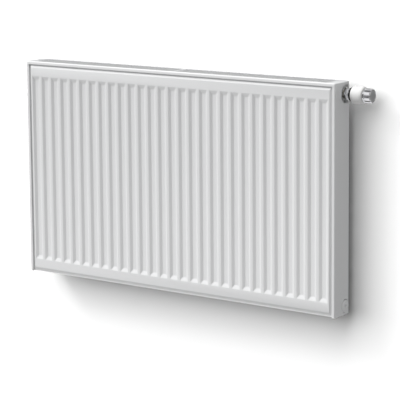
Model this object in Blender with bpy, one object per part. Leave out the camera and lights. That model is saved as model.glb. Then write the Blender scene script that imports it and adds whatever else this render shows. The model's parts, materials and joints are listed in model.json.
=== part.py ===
"""Double-panel steel radiator with a built-in thermostatic valve, hung on two wall brackets.

X runs along the radiator, Y towards the wall and Z up. The wall is the plane y = 0, the front
panel faces -Y, and the origin lies on the wall at mid-length and mid-height. Units are metres.
"""

from math import cos
from math import pi
from math import sin
from math import sqrt

import bmesh
import bpy
from mathutils import Vector

# Overall sizes
LENGTH = 1.000
HEIGHT = 0.600
DEPTH = 0.072
WALL_GAP = 0.030

# Pressed water panels
SHEET = 0.0012
TOUCH = 0.0003
GROOVE_PITCH = 0.03333
GROOVE_MOUTH = 0.0258
GROOVE_SIDE_RUN = 0.0069
GROOVE_END_RUN = 0.0100
GROOVE_DEPTH = 0.0047
HEADER = 0.0243
SHOULDER = 0.0068
TOP_FLANGE = 0.0044
END_SHOULDER = 0.0045
END_FLANGE = 0.0049
PANEL_TOP_DROP = 0.0065
PANEL_FOOT_RISE = 0.0015
PANEL_END_INSET = 0.0066

# Convector between the panels
FIN_DEPTH = 0.026
FIN_SHEET = 0.0006
FIN_HEADROOM = 0.035

# Cover grille and side panels
COVER_SHEET = 0.0010
COVER_LIP = 0.0085
COVER_EDGE_RADIUS = 0.0035
SLOTS_PER_GROOVE = 3
SLOT_WIDTH = 0.0056
SLOT_MARGIN = 0.0070
SLOT_END_MARGIN = 0.0290
SIDE_LIP = 0.0060
SIDE_CORNER_RADIUS = 0.0040
CORNER_STEPS = 4
VALVE_OPENING_CLEARANCE = 0.0008
PLUG_OPENING_CLEARANCE = 0.0045

# Connection tees
HUB_BACK_CLEARANCE = 0.0006
HUB_TOP_DROP = 0.032
HUB_FOOT_RISE = 0.022
HUB_RADIUS = 0.0125
HUB_WALL = 0.0023
HUB_MOUTH_INSET = 0.003
HUB_LENGTH = 0.052
HUB_END_WALL = 0.005
BRANCH_INSET = 0.037
BRANCH_RADIUS = 0.009
BRANCH_BORE = 0.006

# Pipe and bottom nipples
NIPPLE_SPACING = 0.050
NIPPLE_FRONT_INSET = 0.036
NIPPLE_RADIUS = 0.0132
NIPPLE_BORE = 0.008
NECK_HEIGHT = 0.008
OUTLET_RADIUS = 0.003
NIPPLE_FOOT_RISE = 0.001
RISER_RADIUS = 0.0062
RISER_BORE = 0.005
RISER_BEND = 0.022
RISER_JOG = 0.028
RISER_CLEARANCE = 0.0007

# Thermostatic valve, with its distances measured outwards from the radiator's end
SEAT_FACE = -0.0414
SEAT_THICKNESS = 0.0030
SEAT_BORE = 0.0050
DISC_RADIUS = 0.0065
DISC_SEAL = 0.0020
DISC_THICKNESS = 0.0030
VALVE_LIFT = 0.0016
STEM_RADIUS = 0.0020
STEM_REACH = 0.0197
COLLAR_FOOT = 0.0008
COLLAR_THICKNESS = 0.0020
COLLAR_RADIUS = 0.0050
SPRING_RADIUS = 0.0043
SPRING_WIRE = 0.0005
SPRING_TURNS = 5
INSERT_FOOT = -0.0300
INSERT_LEDGE = 0.0030
INSERT_TOP = 0.0128
CHAMBER_TOP = 0.0060
CHAMBER_CLEARANCE = 0.0010
FLANGE_TOP = 0.0025
NECK_INSET = 0.0001
STEM_SEAL_RADIUS = 0.0048
NUT_FOOT = 0.0030
NUT_HEX_TOP = 0.0115
NUT_TOP = 0.0160
NUT_WALL = 0.00106
NUT_PLAY = 0.0004
NUT_LIP = 0.0008
RING_RADIUS = 0.0170
RING_WIDTH = 0.0053
BODY_RADIUS = 0.0222
BODY_TOP = 0.0560
BODY_CONE = 0.0040
BODY_SHOULDER = 0.0027
BODY_NOSE = 0.0055
BODY_NOSE_DROP = 0.0036
SPIGOT_STEP = 0.0013
SPIGOT_RIM = 0.0015
BODY_FLOOR = 0.0260
BODY_PORT = 0.0060
SENSOR_FOOT = 0.0340
SENSOR_TOP = 0.0660
SENSOR_BEVEL = 0.0020
PUSH_ROD_RADIUS = 0.0035
WHEEL_RADIUS = 0.0182
WHEEL_SLEEVE_WALL = 0.0017
WHEEL_SLEEVE_FOOT = 0.0300
WHEEL_FOOT = 0.0565
WHEEL_TOP = 0.0768
WHEEL_STEP = 0.0010
FLUTES = 12
FLUTE_DEPTH = 0.0011
CAP_FOOT = 0.0690
CAP_TOP = 0.0780
CAP_INSET = 0.0022
CAP_EDGE = 0.0004

# Vent and blank plugs, with their distances measured outwards from the radiator's end
PLUG_FOOT = -0.0200
PLUG_HEAD = 0.0015
PLUG_CAP_MARGIN = 0.0033
PLUG_SOCKET_RADIUS = 0.0058
PLUG_SOCKET_FOOT = -0.0080
VENT_HEAD = 0.0030
VENT_BORE = 0.0030
VENT_SCREW_RADIUS = 0.0026
VENT_SCREW_FOOT = -0.0120
VENT_SCREW_TOP = 0.0065

# Hanging parts
BRACKET_INSET = 0.150
BRACKET_WIDTH = 0.034
BRACKET_DEPTH = 0.013
BRACKET_SHEET = 0.002
BRACKET_SCREW_RADIUS = 0.0043
BRACKET_SCREW_INSET = 0.060
BRACKET_OVERHANG = 0.014
UPPER_LUG_DROP = 0.060
LOWER_LUG_RISE = 0.100
LUG_WIDTH = 0.040
LUG_HEIGHT = 0.030
LUG_REACH = 0.0127
LUG_LIP = 0.014
HOOK_WIDTH = 0.026
HOOK_SHEET = 0.0024
HOOK_SINK = 0.018
LINER_SHEET = 0.0009
GRIP_CLIP_WIDTH = 0.020
GRILLE_CLIP_INSET = 0.170
SIDE_CLIP_INSET = 0.120

# Planes that follow from the sizes
TOP = HEIGHT / 2
FOOT = -HEIGHT / 2
END = LENGTH / 2
BACK_Y = -WALL_GAP
FRONT_Y = BACK_Y - DEPTH
PANEL_THICKNESS = 2 * (GROOVE_DEPTH + SHEET) + TOUCH
PANEL_TOP = TOP - PANEL_TOP_DROP
PANEL_FOOT = FOOT + PANEL_FOOT_RISE
PANEL_END = END - PANEL_END_INSET
FLAT_TOP = PANEL_TOP - TOP_FLANGE - SHOULDER
FLAT_FOOT = PANEL_FOOT + TOP_FLANGE + SHOULDER
FLAT_END = PANEL_END - END_FLANGE - END_SHOULDER
GROOVE_TOP = FLAT_TOP - HEADER
GROOVE_FOOT = FLAT_FOOT + HEADER
GROOVES = int((2 * FLAT_END - GROOVE_MOUTH) / GROOVE_PITCH) + 1
COVER_FOOT = TOP - COVER_LIP
HUB_BORE = HUB_RADIUS - HUB_WALL
HUB_SETBACK = GROOVE_DEPTH + SHEET + HUB_BACK_CLEARANCE + HUB_RADIUS
RISER_SETBACK = PANEL_THICKNESS + RISER_CLEARANCE + RISER_RADIUS
HUB_Y = BACK_Y - max(HUB_SETBACK, RISER_SETBACK)
HUB_TOP = TOP - HUB_TOP_DROP
HUB_FOOT = FOOT + HUB_FOOT_RISE
BRANCH_X = END - BRANCH_INSET
BRANCH_START_Y = FRONT_Y + PANEL_THICKNESS + TOUCH
NIPPLE_Y = FRONT_Y + NIPPLE_FRONT_INSET
SUPPLY_X = BRANCH_X - NIPPLE_SPACING
BRACKET_X = END - BRACKET_INSET
VALVE_OPENING_RADIUS = BODY_RADIUS + VALVE_OPENING_CLEARANCE
PLUG_OPENING_RADIUS = HUB_RADIUS + PLUG_OPENING_CLEARANCE
NECK_RADIUS = HUB_RADIUS - NECK_INSET
NUT_BORE = NECK_RADIUS + NUT_PLAY
NUT_CORNER_RADIUS = (NUT_BORE + NUT_WALL) / cos(pi / 6)
BODY_CAVITY = WHEEL_RADIUS - WHEEL_STEP
WHEEL_BORE = BODY_CAVITY - TOUCH - WHEEL_SLEEVE_WALL
FINE = 36
COARSE = 16
NOSE_STEPS = 4

FINISHES = {
    "white_lacquer": ((0.80, 0.81, 0.82), 0.35, 0.0),
    "white_plastic": ((0.83, 0.83, 0.82), 0.40, 0.0),
    "black_plastic": ((0.03, 0.03, 0.03), 0.50, 0.0),
    "grey_plastic": ((0.45, 0.46, 0.47), 0.55, 0.0),
    "chrome": ((0.80, 0.80, 0.82), 0.10, 1.0),
    "satin_metal": ((0.60, 0.60, 0.61), 0.35, 1.0),
    "zinc_steel": ((0.62, 0.64, 0.66), 0.40, 1.0),
    "brass": ((0.75, 0.58, 0.30), 0.30, 1.0),
    "spring_steel": ((0.55, 0.56, 0.58), 0.30, 1.0),
    "rubber": ((0.02, 0.02, 0.02), 0.80, 0.0),
}


def clear_scene():
    for obj in list(bpy.data.objects):
        bpy.data.objects.remove(obj, do_unlink=True)


def finish(name):
    material = bpy.data.materials.get(name)
    if material:
        return material
    colour, roughness, metallic = FINISHES[name]
    material = bpy.data.materials.new(name)
    material.use_nodes = True
    shader = material.node_tree.nodes["Principled BSDF"]
    shader.inputs["Base Color"].default_value = (*colour, 1.0)
    shader.inputs["Roughness"].default_value = roughness
    shader.inputs["Metallic"].default_value = metallic
    return material


def place(name, shape, material, pivot=(0.0, 0.0, 0.0)):
    """Makes an object of a bmesh drawn in world space, with its origin at the pivot."""
    bmesh.ops.translate(shape, verts=shape.verts, vec=-Vector(pivot))
    mesh = bpy.data.meshes.new(name)
    shape.to_mesh(mesh)
    shape.free()
    mesh.shade_smooth()
    mesh.set_sharp_from_angle(angle=0.6)
    obj = bpy.data.objects.new(name, mesh)
    obj.location = pivot
    bpy.context.scene.collection.objects.link(obj)
    if material:
        mesh.materials.append(finish(material))
    return obj


def tool(name, shape):
    """A cutter or a piece to be joined: it shapes other objects and isn't part of the radiator."""
    obj = place(name, shape, None)
    obj.hide_render = True
    obj.display_type = "WIRE"
    return obj


def combine(obj, other, operation):
    modifier = obj.modifiers.new(other.name, "BOOLEAN")
    modifier.operation = operation
    modifier.object = other
    modifier.solver = "EXACT"


def add_prism(shape, outline, axis, low, high):
    """Extrudes an outline, given in the plane across the axis, from low to high."""
    def point(pair, along):
        first, second = pair
        if axis == "X":
            return (along, first, second)
        if axis == "Y":
            return (first, along, second)
        return (first, second, along)

    base = shape.faces.new([shape.verts.new(point(pair, low)) for pair in outline])
    grown = bmesh.ops.extrude_face_region(shape, geom=[base])
    raised = [item for item in grown["geom"] if isinstance(item, bmesh.types.BMVert)]
    travel = Vector(point((0.0, 0.0), high - low))
    bmesh.ops.translate(shape, verts=raised, vec=travel)
    bmesh.ops.recalc_face_normals(shape, faces=shape.faces)


def prism(outline, axis, low, high):
    shape = bmesh.new()
    add_prism(shape, outline, axis, low, high)
    return shape


def box_outline(first_low, first_high, second_low, second_high):
    return [
        (first_low, second_low),
        (first_high, second_low),
        (first_high, second_high),
        (first_low, second_high),
    ]


def arc(centre, radius, start, stop, steps):
    """Points on a circle from the start angle to the stop angle."""
    angles = [start + (stop - start) * step / steps for step in range(steps + 1)]
    return [(centre[0] + radius * cos(a), centre[1] + radius * sin(a)) for a in angles]


def circle(centre, radius, steps=COARSE):
    """A closed outline whose corners lie either side of the axes, clear of its neighbours' corners."""
    half_step = pi / steps
    return arc(centre, radius, half_step, 2 * pi + half_step, steps)[:-1]


def ring_radius(radius, form, angle):
    """Distance from the axis at an angle, for a round, many-sided or fluted section."""
    if form == "fluted":
        return radius - FLUTE_DEPTH * (0.5 - 0.5 * cos(FLUTES * angle)) ** 2
    sides = {"hex": 6, "square": 4}.get(form)
    if not sides:
        return radius
    step = 2 * pi / sides
    return radius * cos(step / 2) / cos(angle % step - step / 2)


def turned(rows, segments, centre, axis=(1.0, 0.0, 0.0), phase=0.0):
    """A turned solid about an axis through the centre.

    Each row gives the distance along the axis, the radius and, where it isn't round, the
    section's form. Rows that start and end on the axis make a solid, others close on themselves.
    The phase turns the corners by a share of a segment.
    """
    shape = bmesh.new()
    along = Vector(axis).normalized()
    across = Vector((0.0, 0.0, 1.0)) if abs(along.z) < 0.5 else Vector((0.0, 1.0, 0.0))
    third = along.cross(across)
    middle = Vector(centre)
    rings = []
    for distance, radius, *form in rows:
        base = middle + along * distance
        if radius == 0.0:
            rings.append([shape.verts.new(base)])
            continue
        ring = []
        for index in range(segments):
            angle = 2 * pi * (index + phase) / segments
            reach = ring_radius(radius, form[0] if form else "round", angle)
            ring.append(shape.verts.new(base + (across * cos(angle) + third * sin(angle)) * reach))
        rings.append(ring)
    pairs = list(zip(rings, rings[1:]))
    if len(rings[0]) > 1:
        pairs.append((rings[-1], rings[0]))
    for ring, following in pairs:
        for index in range(segments):
            after = (index + 1) % segments
            corners = [
                ring[index % len(ring)],
                ring[after % len(ring)],
                following[after % len(following)],
                following[index % len(following)],
            ]
            shape.faces.new(list(dict.fromkeys(corners)))
    bmesh.ops.recalc_face_normals(shape, faces=shape.faces)
    return shape


def swept(points, radius, sides, bore=0.0):
    """A rod or, with a bore, an open tube along the points."""
    shape = bmesh.new()
    path = [Vector(point) for point in points]
    radii = [radius, bore] if bore else [radius]
    normal = None
    tracks = [[] for _ in radii]
    for index, point in enumerate(path):
        before = path[max(index - 1, 0)]
        after = path[min(index + 1, len(path) - 1)]
        tangent = (after - before).normalized()
        guide = normal or (Vector((0.0, 1.0, 0.0)) if abs(tangent.y) < 0.9 else Vector((0.0, 0.0, 1.0)))
        normal = (guide - tangent * guide.dot(tangent)).normalized()
        other = tangent.cross(normal)
        for track, size in zip(tracks, radii):
            turns = [2 * pi * side / sides for side in range(sides)]
            track.append([shape.verts.new(point + (normal * cos(a) + other * sin(a)) * size) for a in turns])
    for track in tracks:
        for ring, following in zip(track, track[1:]):
            for side in range(sides):
                after = (side + 1) % sides
                shape.faces.new([ring[side], ring[after], following[after], following[side]])
    for end in (0, -1):
        if bore:
            outer, inner = tracks[0][end], tracks[1][end]
            for side in range(sides):
                after = (side + 1) % sides
                shape.faces.new([outer[side], outer[after], inner[after], inner[side]])
        else:
            shape.faces.new(tracks[0][end])
    bmesh.ops.recalc_face_normals(shape, faces=shape.faces)
    return shape


def pressed_sheet(name, near_y, inward):
    """One pressed sheet of a water panel, with its recessed grooves and its stepped rim.

    near_y is the flat face that the grooves sink from, and inward, 1 or -1, is the way they sink.
    """
    shape = bmesh.new()
    made = {}

    def corner(x, z, sunk):
        key = (round(x, 6), round(z, 6))
        if key not in made:
            made[key] = shape.verts.new((x, near_y + inward * (GROOVE_DEPTH if sunk else 0.0), z))
        return made[key]

    def face(*corners):
        return shape.faces.new([corner(*item) for item in corners])

    half_mouth = GROOVE_MOUTH / 2
    half_floor = half_mouth - GROOVE_SIDE_RUN
    floor_top = GROOVE_TOP - GROOVE_END_RUN
    floor_foot = GROOVE_FOOT + GROOVE_END_RUN
    centres = [(index - (GROOVES - 1) / 2) * GROOVE_PITCH for index in range(GROOVES)]
    rims = [-FLAT_END]
    for centre in centres:
        rims += [centre - half_mouth, centre + half_mouth]
        left, right = centre - half_mouth, centre + half_mouth
        low, high = centre - half_floor, centre + half_floor
        face((low, floor_foot, 1), (high, floor_foot, 1), (high, floor_top, 1), (low, floor_top, 1))
        face((left, GROOVE_FOOT, 0), (low, floor_foot, 1), (low, floor_top, 1), (left, GROOVE_TOP, 0))
        face((high, floor_foot, 1), (right, GROOVE_FOOT, 0), (right, GROOVE_TOP, 0), (high, floor_top, 1))
        face((left, GROOVE_TOP, 0), (low, floor_top, 1), (high, floor_top, 1), (right, GROOVE_TOP, 0))
        face((left, GROOVE_FOOT, 0), (right, GROOVE_FOOT, 0), (high, floor_foot, 1), (low, floor_foot, 1))
    rims.append(FLAT_END)
    for left, right in zip(rims[::2], rims[1::2]):
        face((left, GROOVE_FOOT, 0), (right, GROOVE_FOOT, 0), (right, GROOVE_TOP, 0), (left, GROOVE_TOP, 0))
    face(*[(x, GROOVE_TOP, 0) for x in rims], (FLAT_END, FLAT_TOP, 0), (-FLAT_END, FLAT_TOP, 0))
    face(*[(x, GROOVE_FOOT, 0) for x in reversed(rims)], (-FLAT_END, FLAT_FOOT, 0), (FLAT_END, FLAT_FOOT, 0))

    step_end = FLAT_END + END_SHOULDER
    step_top = FLAT_TOP + SHOULDER
    step_foot = FLAT_FOOT - SHOULDER
    inner = [(-FLAT_END, FLAT_FOOT, 0), (FLAT_END, FLAT_FOOT, 0), (FLAT_END, FLAT_TOP, 0), (-FLAT_END, FLAT_TOP, 0)]
    step = [(-step_end, step_foot, 1), (step_end, step_foot, 1), (step_end, step_top, 1), (-step_end, step_top, 1)]
    rim = [(-PANEL_END, PANEL_FOOT, 1), (PANEL_END, PANEL_FOOT, 1), (PANEL_END, PANEL_TOP, 1), (-PANEL_END, PANEL_TOP, 1)]
    sides = {
        1: [(FLAT_END, GROOVE_FOOT, 0), (FLAT_END, GROOVE_TOP, 0)],
        3: [(-FLAT_END, GROOVE_TOP, 0), (-FLAT_END, GROOVE_FOOT, 0)],
    }
    for index in range(4):
        after = (index + 1) % 4
        face(inner[index], *sides.get(index, []), inner[after], step[after], step[index])
        face(step[index], step[after], rim[after], rim[index])
    grown = bmesh.ops.extrude_face_region(shape, geom=shape.faces[:])
    raised = [item for item in grown["geom"] if isinstance(item, bmesh.types.BMVert)]
    bmesh.ops.translate(shape, verts=raised, vec=(0.0, inward * SHEET, 0.0))
    bmesh.ops.recalc_face_normals(shape, faces=shape.faces)
    return place(name, shape, "white_lacquer")


def hub_places():
    """Each connection's name, its end of the radiator and its height."""
    for side, sign in (("left", -1), ("right", 1)):
        yield f"top_{side}", sign, HUB_TOP
        yield f"bottom_{side}", sign, HUB_FOOT


def water_panels():
    rear_front_y = BACK_Y - PANEL_THICKNESS
    pressed_sheet("front_panel_outer_sheet", FRONT_Y, 1)
    front_inner = pressed_sheet("front_panel_inner_sheet", FRONT_Y + PANEL_THICKNESS, -1)
    rear_inner = pressed_sheet("rear_panel_inner_sheet", rear_front_y, 1)
    pressed_sheet("rear_panel_outer_sheet", BACK_Y, -1)
    ports = bmesh.new()
    seats = bmesh.new()
    for _, sign, height in hub_places():
        port = circle((sign * BRANCH_X, height), BRANCH_BORE, COARSE // 2)
        add_prism(ports, port, "Y", FRONT_Y + PANEL_THICKNESS / 2, BRANCH_START_Y + TOUCH)
        seat = circle((HUB_Y, height), HUB_RADIUS + 2 * TOUCH)
        ends = sorted((sign * (END - HUB_MOUTH_INSET - HUB_LENGTH - TOUCH), sign * END))
        add_prism(seats, seat, "X", *ends)
    combine(front_inner, tool("waterway_ports", ports), "DIFFERENCE")
    combine(rear_inner, tool("tee_seats", seats), "DIFFERENCE")


def convector():
    """A corrugated sheet behind the front panel, open at the top and the bottom."""
    front = FRONT_Y + PANEL_THICKNESS + TOUCH + FIN_SHEET / 2
    back = front + FIN_DEPTH - FIN_SHEET
    waves = int(2 * (BRANCH_X - 2 * BRANCH_RADIUS) / GROOVE_PITCH)
    start = -waves * GROOVE_PITCH / 2
    wave = ((0.00, front), (0.30, front), (0.44, back), (0.86, back))
    points = [(start + (index + share) * GROOVE_PITCH, y) for index in range(waves) for share, y in wave]
    points.append((start + waves * GROOVE_PITCH, front))
    shape = bmesh.new()
    low, high = FLAT_FOOT + FIN_HEADROOM, FLAT_TOP - FIN_HEADROOM
    columns = [(shape.verts.new((x, y, low)), shape.verts.new((x, y, high))) for x, y in points]
    for column, following in zip(columns, columns[1:]):
        shape.faces.new([column[0], following[0], following[1], column[1]])
    sheet = place("convector_sheet", shape, "white_lacquer")
    wall = sheet.modifiers.new("sheet", "SOLIDIFY")
    wall.thickness = FIN_SHEET
    wall.offset = 0.0
    wall.use_even_offset = True


def cover_grille():
    """The lid that laps over both panels, with a row of slots either side of a centre bridge."""
    shape = bmesh.new()
    bmesh.ops.create_cube(shape, size=1.0)
    bmesh.ops.scale(shape, verts=shape.verts, vec=(LENGTH, DEPTH, COVER_LIP))
    bmesh.ops.translate(shape, verts=shape.verts, vec=(0.0, (FRONT_Y + BACK_Y) / 2, TOP - COVER_LIP / 2))
    underside = [face for face in shape.faces if face.normal.z < -0.5]
    bmesh.ops.delete(shape, geom=underside, context="FACES_ONLY")
    edges = [edge for edge in shape.edges if not edge.is_boundary]
    bmesh.ops.bevel(shape, geom=edges, offset=COVER_EDGE_RADIUS, segments=3, profile=0.5, affect="EDGES")
    lid = place("cover_grille", shape, "white_lacquer")
    wall = lid.modifiers.new("sheet", "SOLIDIFY")
    wall.thickness = COVER_SHEET
    wall.offset = -1.0
    wall.use_even_offset = True
    slots = bmesh.new()
    pitch = GROOVE_PITCH / SLOTS_PER_GROOVE
    count = int((END - SLOT_END_MARGIN) / pitch)
    for index in range(1, count + 1):
        for centre in (-index * pitch, index * pitch):
            outline = box_outline(
                centre - SLOT_WIDTH / 2, centre + SLOT_WIDTH / 2, FRONT_Y + SLOT_MARGIN, BACK_Y - SLOT_MARGIN
            )
            add_prism(slots, outline, "Z", TOP - 2 * COVER_SHEET, TOP + COVER_SHEET)
    combine(lid, tool("slot_cutter", slots), "DIFFERENCE")


def side_panel(name, sign):
    """A folded end cover with rounded corners, notched for the valve and holed for the plug."""
    radius = SIDE_CORNER_RADIUS
    front = arc((END - radius, FRONT_Y + radius), radius, -pi / 2, 0.0, CORNER_STEPS)
    back = arc((END - radius, BACK_Y - radius), radius, 0.0, pi / 2, CORNER_STEPS)
    outline = [(END - SIDE_LIP, FRONT_Y), *front, *back, (END - SIDE_LIP, BACK_Y)]
    shape = bmesh.new()
    top = COVER_FOOT - TOUCH
    columns = [(shape.verts.new((sign * x, y, FOOT)), shape.verts.new((sign * x, y, top))) for x, y in outline]
    for column, following in zip(columns, columns[1:]):
        corners = [column[0], following[0], following[1], column[1]]
        shape.faces.new(corners if sign > 0 else corners[::-1])
    panel = place(name, shape, "white_lacquer")
    wall = panel.modifiers.new("sheet", "SOLIDIFY")
    wall.thickness = COVER_SHEET
    wall.offset = -1.0
    wall.use_even_offset = True
    openings = bmesh.new()
    through = sorted((sign * (END - 2 * SIDE_LIP), sign * (END + SIDE_LIP)))
    notch = arc((HUB_Y, HUB_TOP), VALVE_OPENING_RADIUS, pi / 2, 3 * pi / 2, COARSE)
    notch += [(BACK_Y + SIDE_LIP, HUB_TOP - VALVE_OPENING_RADIUS), (BACK_Y + SIDE_LIP, HUB_TOP + VALVE_OPENING_RADIUS)]
    add_prism(openings, notch, "X", *through)
    add_prism(openings, circle((HUB_Y, HUB_FOOT), PLUG_OPENING_RADIUS), "X", *through)
    combine(panel, tool(f"{name}_openings", openings), "DIFFERENCE")


def straddle(inner_low, inner_high, tip, crown_low, crown_high, wall):
    """An upside-down U as an outline: two legs either side of a strip, and a thick crown."""
    return [
        (inner_low - wall, tip),
        (inner_low, tip),
        (inner_low, crown_low),
        (inner_high, crown_low),
        (inner_high, tip),
        (inner_high + wall, tip),
        (inner_high + wall, crown_high),
        (inner_low - wall, crown_high),
    ]


def clips():
    """Plastic clips that grip the welded flanges and hold the cover and the side panels."""
    flange_low = FRONT_Y + GROOVE_DEPTH - TOUCH
    flange_high = FRONT_Y + PANEL_THICKNESS - GROOVE_DEPTH + TOUCH
    wall = SHEET
    rear = DEPTH - PANEL_THICKNESS
    leg = TOP_FLANGE - 2 * TOUCH
    for row, shift in (("front", 0.0), ("rear", rear)):
        grip = straddle(
            flange_low + shift, flange_high + shift, PANEL_TOP - leg, PANEL_TOP + TOUCH, TOP - COVER_SHEET - TOUCH, wall
        )
        for side, sign in (("left", -1), ("right", 1)):
            middle = sign * (END - GRILLE_CLIP_INSET)
            span = (middle - GRIP_CLIP_WIDTH / 2, middle + GRIP_CLIP_WIDTH / 2)
            place(f"grille_clip_{row}_{side}", prism(grip, "X", *span), "grey_plastic")
    reach = END_FLANGE - 2 * TOUCH
    for side, sign in (("left", -1), ("right", 1)):
        grip = straddle(flange_low, flange_high, PANEL_END - reach, PANEL_END + TOUCH, END - COVER_SHEET - TOUCH, wall)
        outline = [(sign * x, y) for y, x in grip]
        for row, middle in (("upper", TOP - SIDE_CLIP_INSET), ("lower", FOOT + SIDE_CLIP_INSET)):
            span = (middle - GRIP_CLIP_WIDTH / 2, middle + GRIP_CLIP_WIDTH / 2)
            place(f"side_clip_{row}_{side}", prism(outline, "Z", *span), "grey_plastic")


def tees():
    """Four hollow connection hubs, each with a branch to the front panel."""
    for name, sign, height in hub_places():
        mouth = -HUB_MOUTH_INSET
        foot = mouth - HUB_LENGTH
        outward = (sign, 0.0, 0.0)
        centre = (sign * END, HUB_Y, height)
        rows = [(foot, 0.0), (foot, HUB_RADIUS), (mouth, HUB_RADIUS), (mouth, 0.0)]
        tee = place(f"tee_{name}", turned(rows, COARSE, centre, outward), "white_lacquer")
        reach = HUB_Y - BRANCH_START_Y
        rows = [(0.0, 0.0), (0.0, BRANCH_RADIUS), (reach, BRANCH_RADIUS), (reach, 0.0)]
        branch = turned(rows, COARSE, (sign * BRANCH_X, BRANCH_START_Y, height), (0.0, 1.0, 0.0), 0.5)
        combine(tee, tool(f"branch_{name}", branch), "UNION")
        end_wall = 2 * HUB_END_WALL if name == "top_right" else HUB_END_WALL
        rows = [(foot + end_wall, 0.0), (foot + end_wall, HUB_BORE), (SHEET, HUB_BORE), (SHEET, 0.0)]
        waterway = tool(f"bore_{name}", turned(rows, COARSE, centre, outward))
        cross = circle((sign * BRANCH_X, height), BRANCH_BORE, COARSE // 2)
        port = prism(cross, "Y", BRANCH_START_Y - SHEET, HUB_Y + HUB_RADIUS + SHEET)
        combine(waterway, tool(f"port_{name}", port), "UNION")
        if name == "top_right":
            rows = [(foot - SHEET, 0.0), (foot - SHEET, RISER_BORE), (foot + 3 * HUB_END_WALL, RISER_BORE),
                    (foot + 3 * HUB_END_WALL, 0.0)]
            inlet = turned(rows, COARSE // 2, centre, outward, 0.5)
            combine(waterway, tool("inlet_port", inlet), "UNION")
        if name == "bottom_right":
            outlet = prism(circle((BRANCH_X, NIPPLE_Y), OUTLET_RADIUS, COARSE // 2), "Z", height - HUB_RADIUS, height)
            combine(waterway, tool("outlet_port", outlet), "UNION")
        combine(tee, waterway, "DIFFERENCE")


def nipple(name, x, top, neck_top, neck_radius, neck_bore):
    """A bottom pipe connection: an open threaded stub that narrows to a neck."""
    foot = FOOT + NIPPLE_FOOT_RISE
    length = top - foot
    reach = neck_top - foot
    rows = [
        (0.0, NIPPLE_BORE),
        (0.0, NIPPLE_RADIUS - SHEET),
        (SHEET, NIPPLE_RADIUS),
        (length - 2 * SHEET, NIPPLE_RADIUS),
        (length - SHEET, NIPPLE_RADIUS - SHEET),
        (length, NIPPLE_RADIUS - SHEET),
        (length, neck_radius),
        (reach, neck_radius),
        (reach, neck_bore),
        (length - SHEET, neck_bore),
        (length - SHEET, NIPPLE_BORE),
    ]
    place(name, turned(rows, COARSE, (x, NIPPLE_Y, foot), (0.0, 0.0, 1.0)), "brass")


def bottom_connection():
    """Two nipples under the valve end, and the pipe that lifts the supply to the valve."""
    nipple_top = HUB_FOOT - HUB_RADIUS - TOUCH
    supply_top = nipple_top + NECK_HEIGHT
    neck = OUTLET_RADIUS + SHEET
    beside_hub = HUB_Y - NIPPLE_Y - neck
    hub_drop = sqrt(max(HUB_RADIUS ** 2 - beside_hub ** 2, 0.0))
    neck_top = HUB_FOOT - max(BRANCH_RADIUS, hub_drop) - TOUCH
    nipple("return_nipple", BRANCH_X, nipple_top, neck_top, neck, OUTLET_RADIUS)
    nipple("supply_nipple", SUPPLY_X, nipple_top, supply_top, RISER_RADIUS, RISER_BORE)
    start = supply_top + TOUCH
    end = END - HUB_MOUTH_INSET - HUB_LENGTH - TOUCH
    points = [(SUPPLY_X, NIPPLE_Y, start)]
    jog_steps = 4
    for step in range(jog_steps + 1):
        share = step / jog_steps
        sway = (1 - cos(pi * share)) / 2
        points.append((SUPPLY_X, NIPPLE_Y + (HUB_Y - NIPPLE_Y) * sway, start + SHEET + RISER_JOG * share))
    bend = arc((SUPPLY_X + RISER_BEND, HUB_TOP - RISER_BEND), RISER_BEND, pi, pi / 2, 4)
    points += [(x, HUB_Y, z) for x, z in bend]
    points.append((end, HUB_Y, HUB_TOP))
    place("riser_pipe", swept(points, RISER_RADIUS, 10, RISER_BORE), "zinc_steel")


def valve_part(name, material, rows, segments=COARSE):
    """A turned piece of the valve. Its origin is on the valve's axis, where that leaves the end."""
    centre = (END, HUB_Y, HUB_TOP)
    return place(name, turned(rows, segments, centre), material, centre)


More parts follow.
